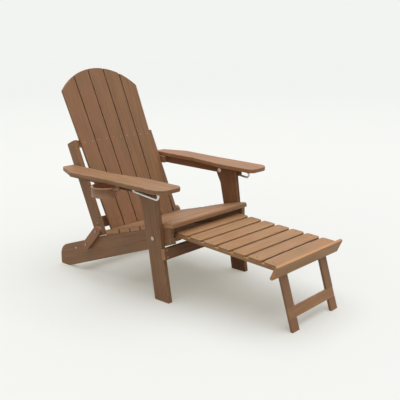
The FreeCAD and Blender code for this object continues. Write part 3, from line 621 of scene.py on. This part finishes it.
# Flat ends of the arms' front bolts, set into the front legs' inner faces, painted near white as a painted glint
boltEnd = {"radius": 10.5 * mm, "proud": 0.25 * mm, "depth": 1.2 * mm, "sides": 28, "smoothAngle": 40}
for side, name in ((-1, "right"), (1, "left")):
    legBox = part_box("front_leg_" + name)
    bolts = [vert.co for vert in nodes["arm_bolts_" + name].data.vertices]
    front = [place for place in bolts if place.y < legBox[1].y]
    middleY = (min(place.y for place in front) + max(place.y for place in front)) / 2
    middleZ = (min(place.z for place in front) + max(place.z for place in front)) / 2
    inner = legBox[1].x if side < 0 else legBox[0].x
    centre = Vector((inner - side * (boltEnd["proud"] - boltEnd["depth"] / 2), middleY, middleZ))
    work = bmesh.new()
    bmesh.ops.create_cone(
        work, cap_ends=True, segments=boltEnd["sides"], radius1=boltEnd["radius"], radius2=boltEnd["radius"],
        depth=boltEnd["depth"], matrix=Matrix.Translation(centre) @ Matrix.Rotation(math.pi / 2, 4, "Y"))
    finishPiece("bolt_end_" + name, work, "arm_" + name, ["glintedBoltFace"], boltEnd["smoothAngle"])

# Bolt heads that hold the rear foot bar, one on each stringer's outer face
barBolt = {"radius": 8.0 * mm, "crown": 0.72, "height": 3.0 * mm, "sides": 24, "smoothAngle": 40}
barMiddle = sum(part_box("rear_foot_bar"), Vector()) / 2
work = bmesh.new()
for side, outer in ((-1, stringerRight[0].x), (1, stringerLeft[1].x)):
    place = Vector((outer + side * barBolt["height"] / 2, barMiddle.y, barMiddle.z))
    bmesh.ops.create_cone(
        work, cap_ends=True, segments=barBolt["sides"], radius1=barBolt["radius"],
        radius2=barBolt["radius"] * barBolt["crown"], depth=barBolt["height"],
        matrix=Matrix.Translation(place) @ Matrix.Rotation(side * math.pi / 2, 4, "Y"))
finishPiece("bolts_rear_bar", work, "frame", ["dullBolt"], barBolt["smoothAngle"])
print("stage: screws and small bolts placed")

# Floor: its own colour for the camera and for gloss, a plainer one for bounced light, and a glow that changes
# with the distance from the chair's middle, brightest in a painted ring of light, and warm so shadows show painted
# bounce light
floor = {
    "size": 60.0, "shade": (0.597, 0.626, 0.656, 1), "bounce": (0.32, 0.32, 0.315, 1), "roughness": 0.9,
    # glow colours are warm against the cool shade, a painted warm light in shadows; middle is a painted brighter
    # ring
    "near": (0.285, 0.268, 0.218, 1), "middle": (0.311, 0.294, 0.24, 1), "far": (0.263, 0.248, 0.202, 1),
    "nearToMiddle": (0.8, 2.6), "middleToFar": (4.0, 12.0),
}


def seenDirectly(tree):
    # 1 for the camera's rays and for those that a shiny surface reflects
    rays = addNode(tree, "ShaderNodeLightPath")
    return mathNode(tree, "MAXIMUM", rays.outputs["Is Camera Ray"], rays.outputs["Is Glossy Ray"])


work = bmesh.new()
bmesh.ops.create_grid(work, x_segments=1, y_segments=1, size=floor["size"] / 2)
mesh = bpy.data.meshes.new("studioFloor")
work.to_mesh(mesh)
work.free()
floorMaterial, tree, shader = newMaterial("studioFloor")
seen = seenDirectly(tree)
tree.links.new(mixColour(tree, seen, floor["bounce"], floor["shade"]), shader.inputs["Base Color"])
spread = addNode(tree, "ShaderNodeVectorMath", operation="LENGTH")
setInput(tree, spread, 0, addNode(tree, "ShaderNodeTexCoord").outputs["Object"])
distance = spread.outputs["Value"]
nearby = mixColour(tree, remap(tree, distance, floor["nearToMiddle"]), floor["near"], floor["middle"])
glow = mixColour(tree, remap(tree, distance, floor["middleToFar"]), nearby, floor["far"])
tree.links.new(glow, shader.inputs["Emission Color"])
tree.links.new(seen, shader.inputs["Emission Strength"])
shader.inputs["Roughness"].default_value = floor["roughness"]
shader.inputs["Specular IOR Level"].default_value = 0.0
mesh.materials.append(floorMaterial)
addToScene("studioFloor", mesh)

# Studio: a pale backdrop for the eye, even light for the chair, and two soft lamps
studio = {"backdrop": (0.89, 0.905, 0.882, 1), "ambient": (1.0, 1.0, 1.0, 1), "ambientStrength": 0.3}
world = bpy.data.worlds.new("studio")
bpy.context.scene.world = world
world.use_nodes = True
tree = world.node_tree
tree.nodes.clear()
backdrop = addNode(tree, "ShaderNodeBackground")
setInput(tree, backdrop, "Color", studio["backdrop"])
ambient = addNode(tree, "ShaderNodeBackground")
setInput(tree, ambient, "Color", studio["ambient"])
setInput(tree, ambient, "Strength", studio["ambientStrength"])
mix = addNode(tree, "ShaderNodeMixShader")
setInput(tree, mix, 0, seenDirectly(tree))
setInput(tree, mix, 1, ambient.outputs[0])
setInput(tree, mix, 2, backdrop.outputs[0])
setInput(tree, addNode(tree, "ShaderNodeOutputWorld"), 0, mix.outputs[0])

lamps = {
    "keySun": {"strength": 2.2, "softness": 75, "towards": (-0.1, -0.05, -1.0), "colour": (1.0, 0.99, 0.97)},
    "fillSun": {"strength": 0.4, "softness": 90, "towards": (1.0, 0.5, -0.5), "colour": (1.0, 1.0, 1.0)},
}
for name, look in lamps.items():
    lamp = bpy.data.lights.new(name, "SUN")
    lamp.energy = look["strength"]
    lamp.angle = math.radians(look["softness"])
    lamp.color = look["colour"]
    item = addToScene(name, lamp)
    item.matrix_world = Vector(look["towards"]).to_track_quat("-Z", "Y").to_matrix().to_4x4()

# Camera fitted to the photograph; its aim is measured from the chair's datum
view = {"azimuth": -48.03, "elevation": 14.07, "roll": -0.36, "distance": 2.981, "aim": (-0.0038, 0.0265, 0.4007),
        "focalPixels": 644.8, "centrePixels": (205.8, 203.8), "imagePixels": 400, "sensorWidth": 36}
azimuth = math.radians(view["azimuth"])
elevation = math.radians(view["elevation"])
roll = math.radians(view["roll"])
back = Vector((
    math.sin(azimuth) * math.cos(elevation), -math.cos(azimuth) * math.cos(elevation), math.sin(elevation)))
right = upwards.cross(back).normalized()
up = back.cross(right)
turnedRight = right * math.cos(roll) + up * math.sin(roll)
turnedUp = up * math.cos(roll) - right * math.sin(roll)
lens = bpy.data.cameras.new("photoCamera")
lens.sensor_width = view["sensorWidth"]
lens.lens = lens.sensor_width * view["focalPixels"] / view["imagePixels"]
half = view["imagePixels"] / 2
lens.shift_x = (half - view["centrePixels"][0]) / view["imagePixels"]
lens.shift_y = (view["centrePixels"][1] - half) / view["imagePixels"]
camera = addToScene("photoCamera", lens)
place = datum + Vector(view["aim"]) + back * view["distance"]
turned = Matrix((turnedRight, turnedUp, back)).transposed().to_4x4()
camera.matrix_world = Matrix.Translation(place) @ turned
bpy.context.scene.camera = camera
bpy.context.scene.view_settings.view_transform = "Standard"
print("stage: floor, light and camera set")
